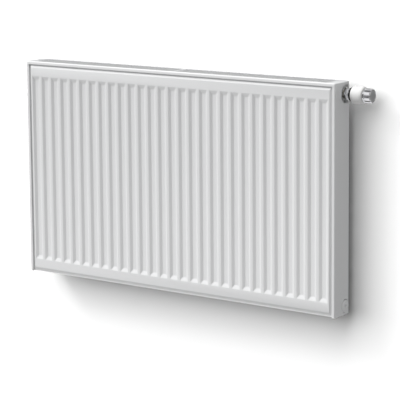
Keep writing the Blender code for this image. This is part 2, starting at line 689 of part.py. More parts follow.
def valve_inside():
    """The seat, the stem with its disc and collar, the insert, the opening spring and the seal."""
    fit = HUB_BORE - 2 * TOUCH
    seat_back = SEAT_FACE - SEAT_THICKNESS
    valve_part("valve_seat", "brass", [(seat_back, SEAT_BORE), (seat_back, fit), (SEAT_FACE, fit), (SEAT_FACE, SEAT_BORE)])
    seal = SEAT_FACE + VALVE_LIFT + 2 * TOUCH
    seal_top = seal + DISC_SEAL
    valve_part("valve_disc_seal", "rubber", [(seal, 0.0), (seal, DISC_RADIUS), (seal_top, DISC_RADIUS), (seal_top, 0.0)])
    disc = seal_top + TOUCH
    disc_top = disc + DISC_THICKNESS
    collar_top = COLLAR_FOOT + COLLAR_THICKNESS
    valve_part("valve_stem", "satin_metal", [
        (disc, 0.0),
        (disc, DISC_RADIUS),
        (disc_top, DISC_RADIUS),
        (disc_top, STEM_RADIUS),
        (COLLAR_FOOT, STEM_RADIUS),
        (COLLAR_FOOT, COLLAR_RADIUS),
        (collar_top, COLLAR_RADIUS),
        (collar_top, STEM_RADIUS),
        (STEM_REACH, STEM_RADIUS),
        (STEM_REACH, 0.0),
    ])
    bore = STEM_RADIUS + TOUCH
    chamber = max(COLLAR_RADIUS, SPRING_RADIUS + SPRING_WIRE) + CHAMBER_CLEARANCE
    ledge = INSERT_FOOT + INSERT_LEDGE
    flange = (NECK_RADIUS + NUT_PLAY) / cos(pi / 6)
    flange_foot = TOUCH - HUB_MOUTH_INSET
    valve_part("valve_insert", "brass", [
        (INSERT_FOOT, bore),
        (INSERT_FOOT, fit),
        (flange_foot, fit),
        (flange_foot, flange, "hex"),
        (FLANGE_TOP, flange, "hex"),
        (FLANGE_TOP, NECK_RADIUS),
        (INSERT_TOP, NECK_RADIUS),
        (INSERT_TOP, bore),
        (CHAMBER_TOP, bore),
        (CHAMBER_TOP, chamber),
        (ledge, chamber),
        (ledge, bore),
    ])
    coil_start = ledge + SPRING_WIRE + TOUCH
    coil_end = COLLAR_FOOT - SPRING_WIRE - TOUCH
    steps = SPRING_TURNS * COARSE // 2
    coil = []
    for step in range(steps + 1):
        turn = 2 * pi * SPRING_TURNS * step / steps
        along = coil_start + (coil_end - coil_start) * step / steps
        coil.append((END + along, HUB_Y + SPRING_RADIUS * cos(turn), HUB_TOP + SPRING_RADIUS * sin(turn)))
    place("valve_spring", swept(coil, SPRING_WIRE, 5), "spring_steel", (END, HUB_Y, HUB_TOP))
    seal_foot = INSERT_TOP + TOUCH
    seal_end = seal_foot + SHEET
    valve_part("stem_seal", "rubber", [
        (seal_foot, bore), (seal_foot, STEM_SEAL_RADIUS), (seal_end, STEM_SEAL_RADIUS), (seal_end, bore),
    ])


def valve_head():
    """The nut, the ring and the body that stay still, and the wheel, rod and sensor that move."""
    spigot = NECK_RADIUS - SPIGOT_STEP
    play = spigot + TOUCH
    chamfer = WHEEL_STEP
    lip_foot = NUT_TOP - NUT_LIP
    valve_part("union_nut", "chrome", [
        (NUT_FOOT, NUT_BORE),
        (NUT_FOOT, NUT_CORNER_RADIUS, "hex"),
        (NUT_HEX_TOP, NUT_CORNER_RADIUS, "hex"),
        (NUT_HEX_TOP + chamfer, NUT_CORNER_RADIUS - SHEET),
        (NUT_TOP, NUT_CORNER_RADIUS - SHEET - TOUCH),
        (NUT_TOP, play),
        (lip_foot, play),
        (lip_foot, NUT_BORE),
    ])
    ring_foot = NUT_TOP + TOUCH
    ring_top = ring_foot + RING_WIDTH
    valve_part("shadow_ring", "black_plastic", [
        (ring_foot, play),
        (ring_foot, RING_RADIUS - chamfer / 2),
        (ring_foot + chamfer / 2, RING_RADIUS),
        (ring_top, RING_RADIUS),
        (ring_top, play),
    ], FINE)
    rim_top = lip_foot - TOUCH
    rim_foot = rim_top - SPIGOT_RIM
    body_foot = ring_top + TOUCH
    cone_top = body_foot + BODY_CONE
    nose_foot = BODY_TOP - BODY_NOSE
    nose_base = BODY_RADIUS - BODY_NOSE_DROP
    turns = [pi / 2 * step / NOSE_STEPS for step in range(NOSE_STEPS + 1)]
    nose = [(nose_foot + BODY_NOSE * sin(turn), nose_base + BODY_NOSE_DROP * cos(turn)) for turn in turns]
    valve_part("head_body", "white_plastic", [
        (rim_foot, BODY_PORT),
        (rim_foot, NECK_RADIUS),
        (rim_top, NECK_RADIUS),
        (rim_top, spigot),
        (body_foot, spigot),
        (body_foot, BODY_RADIUS - BODY_SHOULDER - 3 * chamfer / 2),
        (body_foot + chamfer, BODY_RADIUS - BODY_SHOULDER),
        (cone_top, BODY_RADIUS),
        *nose,
        (BODY_TOP, BODY_CAVITY),
        (BODY_FLOOR, BODY_CAVITY),
        (BODY_FLOOR, BODY_PORT),
    ], FINE)
    rod_foot = STEM_REACH + TOUCH
    rod_top = SENSOR_FOOT - TOUCH
    valve_part("push_rod", "satin_metal", [
        (rod_foot, 0.0), (rod_foot, PUSH_ROD_RADIUS), (rod_top, PUSH_ROD_RADIUS), (rod_top, 0.0),
    ])
    sensor = WHEEL_BORE - 2 * TOUCH
    valve_part("sensor_capsule", "satin_metal", [
        (SENSOR_FOOT, 0.0),
        (SENSOR_FOOT, sensor - 2 * SENSOR_BEVEL),
        (SENSOR_FOOT + SENSOR_BEVEL, sensor),
        (SENSOR_TOP - SENSOR_BEVEL, sensor),
        (SENSOR_TOP, sensor - SENSOR_BEVEL),
        (SENSOR_TOP, 0.0),
    ])
    sleeve = BODY_CAVITY - TOUCH
    valve_part("handwheel", "chrome", [
        (WHEEL_SLEEVE_FOOT, WHEEL_BORE),
        (WHEEL_SLEEVE_FOOT, sleeve),
        (WHEEL_FOOT, sleeve),
        (WHEEL_FOOT, WHEEL_RADIUS + TOUCH - chamfer / 2, "fluted"),
        (WHEEL_FOOT + chamfer, WHEEL_RADIUS, "fluted"),
        (WHEEL_TOP - chamfer, WHEEL_RADIUS, "fluted"),
        (WHEEL_TOP, WHEEL_RADIUS - chamfer, "fluted"),
        (WHEEL_TOP, WHEEL_BORE),
    ], 4 * FLUTES)
    cap_seat = WHEEL_TOP + TOUCH
    cap_radius = WHEEL_RADIUS - CAP_INSET
    valve_part("end_cap", "satin_metal", [
        (CAP_FOOT, 0.0),
        (CAP_FOOT, WHEEL_BORE - TOUCH),
        (cap_seat, WHEEL_BORE - TOUCH),
        (cap_seat, cap_radius),
        (CAP_TOP - CAP_EDGE, cap_radius),
        (CAP_TOP, cap_radius - CAP_EDGE),
        (CAP_TOP, 0.0),
    ], FINE)


def plugs():
    """The air vent at the top left, and the two plugs that close the bottom tees."""
    face = TOUCH - HUB_MOUTH_INSET
    fit = HUB_BORE - TOUCH
    seal_top = SHEET - HUB_MOUTH_INSET
    seal_bore = HUB_BORE + TOUCH
    seal_rows = [(face, seal_bore), (face, HUB_RADIUS), (seal_top, HUB_RADIUS), (seal_top, seal_bore)]
    seat = seal_top + TOUCH
    vent_hex = (HUB_RADIUS + TOUCH) / cos(pi / 6)
    vent = (-END, HUB_Y, HUB_TOP)
    outward = (-1.0, 0.0, 0.0)
    place("vent_seal", turned(seal_rows, COARSE, vent, outward), "rubber", vent)
    place("vent_plug", turned([
        (PLUG_FOOT, VENT_BORE),
        (PLUG_FOOT, fit),
        (seat, fit),
        (seat, vent_hex, "hex"),
        (VENT_HEAD, vent_hex, "hex"),
        (VENT_HEAD, VENT_BORE),
    ], COARSE, vent, outward), "brass", vent)
    key_foot = VENT_HEAD + TOUCH
    place("vent_screw", turned([
        (VENT_SCREW_FOOT, 0.0),
        (VENT_SCREW_FOOT + DISC_SEAL, VENT_SCREW_RADIUS),
        (key_foot, VENT_SCREW_RADIUS),
        (key_foot, VENT_SCREW_RADIUS, "square"),
        (VENT_SCREW_TOP, VENT_SCREW_RADIUS, "square"),
        (VENT_SCREW_TOP, 0.0),
    ], COARSE, vent, outward), "brass", vent)
    cap = HUB_RADIUS + PLUG_CAP_MARGIN
    for side, sign in (("left", -1.0), ("right", 1.0)):
        centre = (sign * END, HUB_Y, HUB_FOOT)
        place(f"plug_seal_{side}", turned(seal_rows, COARSE, centre, (sign, 0.0, 0.0)), "rubber", centre)
        place(f"blank_plug_{side}", turned([
            (PLUG_FOOT, 0.0),
            (PLUG_FOOT, fit),
            (seat, fit),
            (seat, cap),
            (PLUG_HEAD - TOUCH, cap),
            (PLUG_HEAD, cap - TOUCH),
            (PLUG_HEAD, PLUG_SOCKET_RADIUS, "hex"),
            (PLUG_SOCKET_FOOT, PLUG_SOCKET_RADIUS, "hex"),
            (PLUG_SOCKET_FOOT, 0.0),
        ], COARSE, centre, (sign, 0.0, 0.0)), "white_lacquer", centre)


def lug_heights():
    return (("upper", TOP - UPPER_LUG_DROP), ("lower", FOOT + LOWER_LUG_RISE))


def hanging():
    """Lugs on the rear panel, and the wall brackets whose lined hooks carry them."""
    lug_front = BACK_Y + TOUCH
    lug_tip = lug_front + LUG_REACH
    hook_middle = (lug_front + BRACKET_SHEET + lug_tip - BRACKET_SHEET) / 2
    hook_front = hook_middle - HOOK_SHEET / 2
    hook_back = hook_middle + HOOK_SHEET / 2
    top_lug = TOP - UPPER_LUG_DROP
    low_lug = FOOT + LOWER_LUG_RISE
    plate_top = top_lug + BRACKET_OVERHANG
    plate_foot = low_lug - LUG_HEIGHT
    liner_tip = BRACKET_SHEET + TOUCH
    for side, sign in (("left", -1), ("right", 1)):
        middle = sign * BRACKET_X
        inner = BRACKET_WIDTH / 2 - BRACKET_SHEET
        outer = BRACKET_WIDTH / 2
        channel = [(middle - outer, 0.0), (middle + outer, 0.0), (middle + outer, -BRACKET_DEPTH),
                   (middle + inner, -BRACKET_DEPTH), (middle + inner, -BRACKET_SHEET),
                   (middle - inner, -BRACKET_SHEET), (middle - inner, -BRACKET_DEPTH), (middle - outer, -BRACKET_DEPTH)]
        bracket = place(f"wall_bracket_{side}", prism(channel, "Z", plate_foot, plate_top), "zinc_steel")
        hook_span = (middle - HOOK_WIDTH / 2, middle + HOOK_WIDTH / 2)
        lug_span = (middle - LUG_WIDTH / 2, middle + LUG_WIDTH / 2)
        for row, height in lug_heights():
            lug = [
                (lug_front, height - LUG_HEIGHT),
                (lug_front + BRACKET_SHEET, height - LUG_HEIGHT),
                (lug_front + BRACKET_SHEET, height - BRACKET_SHEET),
                (lug_tip - BRACKET_SHEET, height - BRACKET_SHEET),
                (lug_tip - BRACKET_SHEET, height - LUG_LIP),
                (lug_tip, height - LUG_LIP),
                (lug_tip, height),
                (lug_front, height),
            ]
            place(f"hanging_lug_{row}_{side}", prism(lug, "X", *lug_span), "white_lacquer")
            finger_top = height - liner_tip - LINER_SHEET - TOUCH
            arm_top = height - HOOK_SINK
            hook = [
                (-BRACKET_SHEET / 2, arm_top),
                (hook_back, arm_top),
                (hook_back, finger_top),
                (hook_front, finger_top),
                (hook_front, arm_top - HOOK_SHEET),
                (-BRACKET_SHEET / 2, arm_top - HOOK_SHEET),
            ]
            combine(bracket, tool(f"hook_{row}_{side}", prism(hook, "X", *hook_span)), "UNION")
            liner = straddle(hook_front - TOUCH, hook_back + TOUCH, arm_top + 2 * TOUCH, finger_top + TOUCH,
                             height - liner_tip, LINER_SHEET)
            place(f"hook_liner_{row}_{side}", prism(liner, "X", *hook_span), "grey_plastic")
        holes = bmesh.new()
        for height in (plate_top - BRACKET_SCREW_INSET, plate_foot + BRACKET_SCREW_INSET):
            add_prism(holes, circle((middle, height), BRACKET_SCREW_RADIUS, COARSE // 2), "Y", -BRACKET_DEPTH, BRACKET_SHEET)
        combine(bracket, tool(f"screw_holes_{side}", holes), "DIFFERENCE")
        leg_front = -BRACKET_SHEET - TOUCH - 2 * COVER_SHEET
        latch = [
            (-BRACKET_SHEET - TOUCH, top_lug - LUG_LIP),
            (-BRACKET_SHEET - TOUCH, top_lug + TOUCH + 3 * COVER_SHEET),
            (lug_front + LUG_LIP / 4, top_lug + TOUCH + 3 * COVER_SHEET),
            (lug_front + LUG_LIP / 4, top_lug + TOUCH),
            (leg_front, top_lug + TOUCH),
            (leg_front, top_lug - LUG_LIP),
        ]
        place(f"safety_latch_{side}", prism(latch, "X", *hook_span), "grey_plastic")


def main():
    clear_scene()
    water_panels()
    convector()
    cover_grille()
    side_panel("side_panel_left", -1)
    side_panel("side_panel_right", 1)
    clips()
    tees()
    bottom_connection()
    valve_inside()
    valve_head()
    plugs()
    hanging()


main()
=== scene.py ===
import json
import math

import bmesh
import bpy
from bpy.props import FloatProperty, FloatVectorProperty, IntProperty, PointerProperty
from bpy.types import Operator, Panel, PropertyGroup
from mathutils import Matrix, Vector


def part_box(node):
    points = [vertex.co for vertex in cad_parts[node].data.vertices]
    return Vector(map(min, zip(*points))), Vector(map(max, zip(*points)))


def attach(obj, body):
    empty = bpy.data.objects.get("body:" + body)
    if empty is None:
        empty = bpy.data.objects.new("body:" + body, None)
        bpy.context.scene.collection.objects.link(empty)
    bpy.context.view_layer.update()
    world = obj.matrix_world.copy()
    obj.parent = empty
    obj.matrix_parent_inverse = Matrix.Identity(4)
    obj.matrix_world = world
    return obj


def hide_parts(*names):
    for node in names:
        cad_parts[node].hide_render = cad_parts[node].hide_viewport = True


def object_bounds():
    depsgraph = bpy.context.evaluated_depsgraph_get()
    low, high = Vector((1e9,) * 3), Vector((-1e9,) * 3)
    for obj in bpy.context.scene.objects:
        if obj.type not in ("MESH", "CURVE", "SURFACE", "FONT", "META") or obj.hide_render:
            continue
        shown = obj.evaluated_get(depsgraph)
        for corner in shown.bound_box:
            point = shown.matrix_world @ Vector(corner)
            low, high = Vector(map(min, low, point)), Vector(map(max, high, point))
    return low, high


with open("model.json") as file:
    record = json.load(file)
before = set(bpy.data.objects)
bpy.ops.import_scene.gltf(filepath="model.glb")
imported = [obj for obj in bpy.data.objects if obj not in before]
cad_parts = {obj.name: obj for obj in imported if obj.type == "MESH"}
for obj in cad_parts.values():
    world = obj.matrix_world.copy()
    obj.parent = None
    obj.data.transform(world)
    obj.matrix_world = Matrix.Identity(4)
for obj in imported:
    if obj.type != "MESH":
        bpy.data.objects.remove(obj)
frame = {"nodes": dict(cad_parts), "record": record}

bl_info = {
    "name": "Panel Radiator with Valve",
    "version": (1, 0, 0),
    "blender": (4, 5, 0),
    "location": "View3D > Sidebar > Radiator",
    "description": "Dresses a panel radiator with its lacquered sheets, valve head, fittings and stage",
    "category": "Object",
}

COVER_LOW, COVER_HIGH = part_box("cover_grille")
END = COVER_HIGH.x
FRONT_Y = COVER_LOW.y
BACK_Y = COVER_HIGH.y
TOP = COVER_HIGH.z
VALVE_LOW, VALVE_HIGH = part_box("head_body")
VALVE_Y = (VALVE_LOW.y + VALVE_HIGH.y) / 2
VALVE_Z = (VALVE_LOW.z + VALVE_HIGH.z) / 2
PLUG_LOW, PLUG_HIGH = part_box("blank_plug_right")
PLUG_Z = (PLUG_LOW.z + PLUG_HIGH.z) / 2
BOX_AT_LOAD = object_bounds()
ALONG_X = (0.0, math.pi / 2, 0.0)
UPRIGHT = (math.pi / 2, 0.0, 0.0)

# Sizes that the frame doesn't give, in metres
SHEET = 0.001
VALVE_GAP = 0.0008
PLUG_GAP = 0.0019
STRIP_BEHIND_NOTCH = 0.006
PUNCH_LENGTH = 0.02
NUT_EDGE = 0.0006
NUT_CHAMFER = 0.0009
COLLAR_HEIGHT = 0.0045
COLLAR_BORE = 0.0130
NUT_BORE = 0.0128
NUT_LIP = 0.0008
NUT_LIP_BORE = 0.0116
NECK_BORE = 0.0114
# How far the black ring stands proud of its solid, so that more black shows as painted shade of the gap
# between nut and body
RING_PROUD_FOR_GAP_SHADE = 0.0006
BODY_BORE = 0.0060
BODY_SPIGOT = 0.0124
BODY_SPIGOT_LENGTH = 0.0015
BODY_NECK = 0.0111
BODY_RECESS = 0.0172
BODY_FLOOR = 0.0126
# Each row is a distance from the body's foot and a radius
BODY_FLARE = (
    (0.0, 0.0176), (0.0003, 0.0183), (0.0010, 0.0196), (0.0020, 0.0209), (0.0030, 0.0217), (0.0040, 0.0221),
)
# Each row is a distance back from the body's top and a drop below its full radius
BODY_NOSE = (
    (0.0054, 0.0001), (0.0040, 0.0004), (0.0027, 0.0009), (0.0015, 0.0017), (0.0006, 0.0026), (0.0, 0.0036),
)
MARK_SIZE = (0.0030, 0.0014, 0.0006)
MARK_EDGE = 0.0002
WHEEL_BORE = 0.0152
WHEEL_SPIGOT = 0.0169
FLUTES_FROM = 0.0040
FLUTE_STEPS = 8
CAP_SPIGOT = 0.0149
CAP_HEIGHT = 0.0009
PLUG_SHANK = 0.0099
PLUG_RIM = 0.0030
PLUG_FACE = 0.0085
KEY_RADIUS = 0.0058
KEY_PUNCH = 0.005


# Making and finishing pieces


def only(obj):
    """Makes one object the active and only selected one."""
    bpy.ops.object.select_all(action="DESELECT")
    obj.select_set(True)
    bpy.context.view_layer.objects.active = obj
    return obj


def started(name):
    """Names the primitive that was just added and fixes its scale in its mesh."""
    obj = bpy.context.object
    obj.name = name
    obj.data.name = name
    only(obj)
    bpy.ops.object.transform_apply(location=True, rotation=True, scale=True)
    return obj


def block(name, middle, span):
    """A box about a middle point."""
    bpy.ops.object.select_all(action="DESELECT")
    bpy.ops.mesh.primitive_cube_add(size=1.0, location=middle, scale=span)
    return started(name)


def bar(name, corners, radius, length, x, z):
    """A bar along X, as far behind the front face as the valve is."""
    bpy.ops.object.select_all(action="DESELECT")
    bpy.ops.mesh.primitive_cylinder_add(
        vertices=corners, radius=radius, depth=length, location=(x, VALVE_Y, z), rotation=ALONG_X,
    )
    return started(name)


def open_mesh(obj, mode):
    """Enters edit mode with nothing selected."""
    only(obj)
    bpy.ops.object.mode_set(mode="EDIT")
    bpy.ops.mesh.select_mode(type=mode)
    bpy.ops.mesh.select_all(action="DESELECT")


def close_mesh():
    bpy.ops.object.mode_set(mode="OBJECT")


def pick(obj, kind, test):
    """Selects the faces, edges or corners that pass a test, in edit mode."""
    mesh = bmesh.from_edit_mesh(obj.data)
    for item in {"faces": mesh.faces, "edges": mesh.edges, "verts": mesh.verts}[kind]:
        item.select_set(bool(test(item)))
    mesh.select_flush_mode()
    bmesh.update_edit_mesh(obj.data)


def bend_angle(edge):
    """The angle between an edge's two faces, in degrees."""
    return math.degrees(edge.calc_face_angle(0.0)) if len(edge.link_faces) == 2 else 0.0


def apply_all(obj):
    only(obj)
    for modifier in list(obj.modifiers):
        bpy.ops.object.modifier_apply(modifier=modifier.name)


def thicken(obj, thickness):
    wall = obj.modifiers.new("sheet", "SOLIDIFY")
    wall.thickness = thickness
    wall.offset = -1.0
    wall.use_even_offset = True
    apply_all(obj)


def cut(obj, cutter):
    """Takes a cutter's shape out of an object and removes the cutter."""
    hole = obj.modifiers.new("cut", "BOOLEAN")
    hole.operation = "DIFFERENCE"
    hole.solver = "EXACT"
    hole.object = cutter
    apply_all(obj)
    bpy.data.objects.remove(cutter, do_unlink=True)


def soften(obj, width, low=30.0, high=180.0, segments=2):
    """Rounds the edges that bend by more than one angle and less than another."""
    open_mesh(obj, "EDGE")
    pick(obj, "edges", lambda edge: low < bend_angle(edge) < high)
    bpy.ops.mesh.bevel(offset=width, segments=segments, affect="EDGES", clamp_overlap=True)
    close_mesh()


def hand_over(obj, body, slot, material, *nodes, smooth=38.0):
    """Gives a finished piece its shading, finish and body, and hides the nodes that it stands for."""
    only(obj)
    bpy.ops.object.shade_smooth_by_angle(angle=math.radians(smooth))
    obj.data.materials.clear()
    obj.data.materials.append(material)
    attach(obj, body)
    if nodes:
        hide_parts(*nodes)
    return obj


def body_of(node):
    bodies = frame["record"]["behaviour"]["bodies"]
    return next(body for body, names in bodies.items() if node in names)


def merged_copy(node, name):
    """A copy of a node's mesh with its corners merged and its flat faces whole."""
    source = frame["nodes"][node]
    obj = source.copy()
    obj.data = source.data.copy()
    obj.parent = None
    obj.name = name
    obj.data.name = name
    bpy.context.scene.collection.objects.link(obj)
    obj.matrix_world = source.matrix_world.copy()
    only(obj)
    bpy.ops.object.transform_apply(location=True, rotation=True, scale=True)
    obj.data.validate()
    if obj.data.has_custom_normals:
        bpy.ops.mesh.customdata_custom_splitnormals_clear()
    open_mesh(obj, "VERT")
    bpy.ops.mesh.select_all(action="SELECT")
    bpy.ops.mesh.remove_doubles(threshold=0.00001)
    bpy.ops.mesh.dissolve_limited(angle_limit=math.radians(0.8))
    close_mesh()
    return obj


def lathe(name, rows, segments, z, closed=False):
    """Turns a section about an axis along X by extruding one ring to the next.

    The axis is as far behind the front face as the valve is. Each row is a distance along X and a
    radius. A closed section comes back to its first ring, and an open one gets a flat face at each end.
    """
    first_x, first_radius = rows[0]
    bpy.ops.object.select_all(action="DESELECT")
    bpy.ops.mesh.primitive_circle_add(
        vertices=segments, radius=first_radius, fill_type="NOTHING",
        location=(first_x, VALVE_Y, z), rotation=ALONG_X,
    )
    obj = started(name)
    open_mesh(obj, "EDGE")
    bpy.ops.mesh.select_all(action="SELECT")
    path = list(rows[1:]) + ([rows[0]] if closed else [])
    x, radius = rows[0]
    for next_x, next_radius in path:
        bpy.ops.mesh.extrude_edges_move(TRANSFORM_OT_translate={"value": (next_x - x, 0.0, 0.0)})
        ratio = next_radius / radius
        if abs(ratio - 1.0) > 1e-6:
            bpy.ops.transform.resize(value=(1.0, ratio, ratio), center_override=(next_x, VALVE_Y, z))
        x, radius = next_x, next_radius
    bpy.ops.mesh.select_all(action="SELECT")
    bpy.ops.mesh.remove_doubles(threshold=0.000005)
    if not closed:
        for end_x in (rows[0][0], rows[-1][0]):
            bpy.ops.mesh.select_all(action="DESELECT")
            pick(obj, "edges", lambda edge: edge.is_boundary and abs(edge.verts[0].co.x - end_x) < 1e-5)
            bpy.ops.mesh.edge_face_add()
    bpy.ops.mesh.select_all(action="SELECT")
    bpy.ops.mesh.normals_make_consistent(inside=False)
    close_mesh()
    return obj


# Finishes


def node_of(tree, kind, x, y, **values):
    """Adds a shader node and sets its properties and the sockets that are named for it."""
    made = tree.nodes.new(kind)
    made.location = (x, y)
    for key, value in values.items():
        if key in made.inputs:
            made.inputs[key].default_value = value
        else:
            setattr(made, key, value)
    return made


def group_of(name, inputs, outputs):
    """An empty shader group with a vector input, named number inputs and number outputs."""
    tree = bpy.data.node_groups.new(name, "ShaderNodeTree")
    tree.interface.new_socket("Vector", in_out="INPUT", socket_type="NodeSocketVector")
    for label, value in inputs:
        socket = tree.interface.new_socket(label, in_out="INPUT", socket_type="NodeSocketFloat")
        socket.default_value = value
    for label in outputs:
        tree.interface.new_socket(label, in_out="OUTPUT", socket_type="NodeSocketFloat")
    return tree, node_of(tree, "NodeGroupInput", -700, 0), node_of(tree, "NodeGroupOutput", 500, 0)


def noise_group(name, detail, roughness):
    """Noise at a scale: its height, and a wider and softer mask from the same place."""
    tree, start, end = group_of(name, [("Scale", 100.0), ("Mask Scale", 10.0)], ["Height", "Mask"])
    fine = node_of(tree, "ShaderNodeTexNoise", -350, 120, Detail=detail, Roughness=roughness)
    wide = node_of(tree, "ShaderNodeTexNoise", -350, -160, Detail=3.0, Roughness=0.55)
    spread = node_of(tree, "ShaderNodeMapRange", -60, -160)
    spread.inputs["From Min"].default_value = 0.15
    spread.inputs["From Max"].default_value = 0.85
    tree.links.new(start.outputs["Vector"], fine.inputs["Vector"])
    tree.links.new(start.outputs["Scale"], fine.inputs["Scale"])
    tree.links.new(start.outputs["Vector"], wide.inputs["Vector"])
    tree.links.new(start.outputs["Mask Scale"], wide.inputs["Scale"])
    tree.links.new(wide.outputs["Fac"], spread.inputs["Value"])
    tree.links.new(fine.outputs["Fac"], end.inputs["Height"])
    tree.links.new(spread.outputs["Result"], end.inputs["Mask"])
    return tree


def spangle_group():
    """Flat crystals, as on zinc: a tone for each crystal, and a fine noise for height."""
    tree, start, end = group_of("Zinc Spangle", [("Scale", 220.0), ("Mask Scale", 60.0)], ["Height", "Mask"])
    cells = node_of(tree, "ShaderNodeTexVoronoi", -350, 120)
    blur = node_of(tree, "ShaderNodeTexNoise", -350, -160, Detail=4.0)
    split = node_of(tree, "ShaderNodeSeparateColor", -120, 120)
    blend = node_of(tree, "ShaderNodeMath", 80, 0, operation="MULTIPLY_ADD")
    blend.inputs[1].default_value = 0.6
    tree.links.new(start.outputs["Vector"], cells.inputs["Vector"])
    tree.links.new(start.outputs["Mask Scale"], cells.inputs["Scale"])
    tree.links.new(start.outputs["Vector"], blur.inputs["Vector"])
    tree.links.new(start.outputs["Scale"], blur.inputs["Scale"])
    tree.links.new(cells.outputs["Color"], split.inputs["Color"])
    tree.links.new(split.outputs["Red"], blend.inputs[0])
    tree.links.new(blur.outputs["Fac"], blend.inputs[2])
    tree.links.new(blur.outputs["Fac"], end.inputs["Height"])
    tree.links.new(blend.outputs["Value"], end.inputs["Mask"])
    return tree


def turned_group():
    """Rings across the X axis, as a lathe tool leaves them, broken up by a little noise."""
    tree, start, end = group_of("Turned Marks", [("Scale", 600.0), ("Mask Scale", 30.0)], ["Height", "Mask"])
    rings = node_of(tree, "ShaderNodeTexWave", -350, 120, wave_type="BANDS", bands_direction="X")
    rings.inputs["Distortion"].default_value = 0.6
    rings.inputs["Detail"].default_value = 2.0
    wide = node_of(tree, "ShaderNodeTexNoise", -350, -160, Detail=4.0)
    tree.links.new(start.outputs["Vector"], rings.inputs["Vector"])
    tree.links.new(start.outputs["Scale"], rings.inputs["Scale"])
    tree.links.new(start.outputs["Vector"], wide.inputs["Vector"])
    tree.links.new(start.outputs["Mask Scale"], wide.inputs["Scale"])
    tree.links.new(rings.outputs["Fac"], end.inputs["Height"])
    tree.links.new(wide.outputs["Fac"], end.inputs["Mask"])
    return tree


def finish_of(name, group, scales, tints, roughness, depth, metallic=0.0, coat=0.0, specular=0.5):
    """A finish whose colour, gloss and relief vary over the surface by one of the groups."""
    material = bpy.data.materials.new(name)
    material.use_nodes = True
    tree = material.node_tree
    shader = tree.nodes["Principled BSDF"]
    shader.inputs["Metallic"].default_value = metallic
    shader.inputs["Coat Weight"].default_value = coat
    shader.inputs["Coat Roughness"].default_value = 0.16
    shader.inputs["Specular IOR Level"].default_value = specular
    place = node_of(tree, "ShaderNodeTexCoord", -1100, 0)
    detail = node_of(tree, "ShaderNodeGroup", -650, 0, node_tree=group)
    detail.inputs["Scale"].default_value = scales[0]
    detail.inputs["Mask Scale"].default_value = scales[1]
    tint = node_of(tree, "ShaderNodeMix", -350, 200, data_type="RGBA")
    tint.inputs[6].default_value = (*tints[0], 1.0)
    tint.inputs[7].default_value = (*tints[1], 1.0)
    gloss = node_of(tree, "ShaderNodeMapRange", -350, -60)
    gloss.inputs["To Min"].default_value = roughness[0]
    gloss.inputs["To Max"].default_value = roughness[1]
    relief = node_of(tree, "ShaderNodeBump", -350, -320, Strength=1.0, Distance=depth)
    tree.links.new(place.outputs["Object"], detail.inputs["Vector"])
    tree.links.new(detail.outputs["Mask"], tint.inputs["Factor"])
    tree.links.new(detail.outputs["Mask"], gloss.inputs["Value"])
    tree.links.new(detail.outputs["Height"], relief.inputs["Height"])
    tree.links.new(tint.outputs[2], shader.inputs["Base Color"])
    tree.links.new(gloss.outputs["Result"], shader.inputs["Roughness"])
    tree.links.new(relief.outputs["Normal"], shader.inputs["Normal"])
    return material


def finishes(colours):
    """Every finish by its slot's name, built once."""
    if "Stoved Lacquer" in bpy.data.materials:
        return {slot: bpy.data.materials[name] for slot, name in FINISH_NAMES.items()}
    peel = noise_group("Lacquer Peel", 2.0, 0.45)
    mould = noise_group("Moulded Grain", 6.0, 0.6)
    spangle = spangle_group()
    turned = turned_group()

    def shade(colour, share):
        return tuple(part * share for part in colour)

    white = tuple(colours.lacquer)
    plastic = tuple(colours.plastic)
    metal = tuple(colours.bright_metal)
    finish_of(
        "Stoved Lacquer", peel, (420.0, 7.0), (white, shade(white, 0.996)),
        (0.29, 0.31), 0.000004, coat=0.2,
    )
    finish_of(
        "White Moulding", mould, (1500.0, 40.0), (plastic, shade(plastic, 0.97)),
        (0.36, 0.46), 0.00001,
    )
    finish_of(
        "Black Moulding", mould, (1500.0, 60.0), ((0.006, 0.006, 0.006), (0.01, 0.01, 0.011)),
        (0.48, 0.6), 0.00001, specular=0.2,
    )
    finish_of(
        "Grey Moulding", mould, (1300.0, 60.0), ((0.72, 0.73, 0.74), (0.67, 0.68, 0.69)),
        (0.45, 0.58), 0.00001,
    )
    finish_of(
        "Bright Chrome", peel, (300.0, 90.0), (metal, shade(metal, 0.96)),
        (0.03, 0.07), 0.000003, metallic=1.0,
    )
    finish_of(
        "Satin Metal", turned, (500.0, 120.0), ((0.88, 0.88, 0.89), (0.82, 0.82, 0.83)),
        (0.34, 0.44), 0.000004, metallic=1.0,
    )
    finish_of(
        "Zinc Plate", spangle, (900.0, 160.0), ((0.52, 0.54, 0.56), (0.68, 0.7, 0.72)),
        (0.34, 0.5), 0.000006, metallic=1.0,
    )
    finish_of(
        "Plated Brass", turned, (700.0, 80.0), ((0.60, 0.57, 0.50), (0.50, 0.47, 0.40)),
        (0.24, 0.36), 0.000006, metallic=1.0,
    )
    finish_of(
        "Drawn Wire", turned, (900.0, 200.0), ((0.56, 0.57, 0.59), (0.46, 0.47, 0.49)),
        (0.26, 0.38), 0.000003, metallic=1.0,
    )
    finish_of(
        "Black Rubber", mould, (1100.0, 90.0), ((0.018, 0.018, 0.018), (0.03, 0.03, 0.03)),
        (0.7, 0.85), 0.00002,
    )
    return {slot: bpy.data.materials[name] for slot, name in FINISH_NAMES.items()}


FINISH_NAMES = {
    "white_lacquer": "Stoved Lacquer",
    "white_plastic": "White Moulding",
    "black_plastic": "Black Moulding",
    "grey_plastic": "Grey Moulding",
    "chrome": "Bright Chrome",
    "satin_metal": "Satin Metal",
    "zinc_steel": "Zinc Plate",
    "brass": "Plated Brass",
    "spring_steel": "Drawn Wire",
    "rubber": "Black Rubber",
}


# Settings


